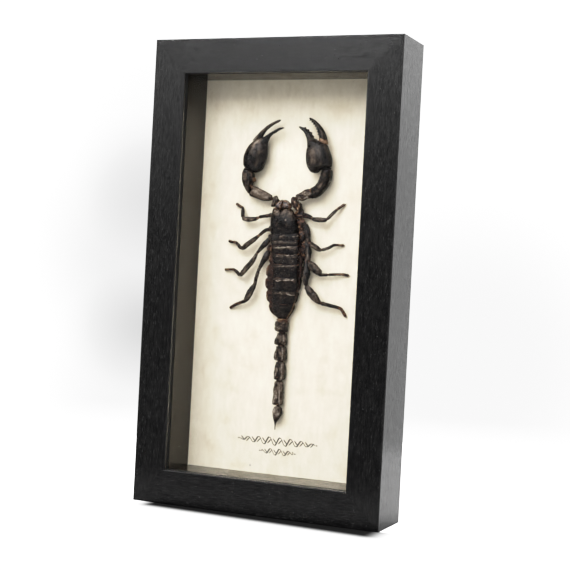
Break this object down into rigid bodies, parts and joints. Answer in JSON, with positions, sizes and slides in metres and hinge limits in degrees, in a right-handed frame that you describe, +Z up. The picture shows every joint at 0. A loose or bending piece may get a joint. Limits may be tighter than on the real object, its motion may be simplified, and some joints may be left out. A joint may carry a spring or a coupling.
{
  "type": "framed scorpion specimen",
  "caption": "Black wooden box frame with a dried scorpion mounted on cream paper behind glass; stands on its base or hangs from a toothed hanger.",
  "frame": {"origin": "middle of the frame's underside", "axes": "+Z up along the frame's height, +X to the viewer's right, +Y from the glass towards the back"},
  "size_m": [0.143, 0.0357, 0.254],
  "materials": {
    "black_wood": "satin black stain with the grain just showing",
    "clear_glass": "clear, polished",
    "spacer_card": "matt grey-brown",
    "cream_paper": "mottled cream parchment",
    "back_board": "brown fibre board",
    "tab_steel": "plain steel",
    "hanger_brass": "brass-plated",
    "shell_black": "satin black shell",
    "shell_brown": "satin brown-black shell"
  },
  "bodies": {
    "root": {"rail_top": "black_wood", "rail_bottom": "black_wood", "rail_left": "black_wood", "rail_right": "black_wood", "glass": "clear_glass", "spacer_top": "spacer_card", "spacer_bottom": "spacer_card", "spacer_left": "spacer_card", "spacer_right": "spacer_card", "mount_board": "cream_paper", "backing_board": "back_board", "point_1": "tab_steel", "point_2": "tab_steel", "point_3": "tab_steel", "point_4": "tab_steel", "point_5": "tab_steel", "point_6": "tab_steel", "hanger": "hanger_brass", "nail_left": "hanger_brass", "nail_right": "hanger_brass", "carapace": "shell_black", "abdomen": "shell_black", "tail_1": "shell_black", "tail_2": "shell_black", "tail_3": "shell_black", "tail_4": "shell_black", "tail_5": "shell_black", "stinger": "shell_black", "arm_base_left": "shell_black", "arm_base_right": "shell_black", "arm_upper_left": "shell_black", "arm_upper_right": "shell_black", "arm_lower_left": "shell_black", "arm_lower_right": "shell_black", "hand_left": "shell_black", "hand_right": "shell_black", "finger_left": "shell_black", "finger_right": "shell_black", "chelicera_left": "shell_brown", "chelicera_right": "shell_brown", "leg_left_1": "shell_brown", "leg_left_2": "shell_brown", "leg_left_3": "shell_brown", "leg_left_4": "shell_brown", "leg_right_1": "shell_brown", "leg_right_2": "shell_brown", "leg_right_3": "shell_brown", "leg_right_4": "shell_brown"}
  },
  "joints": []
}
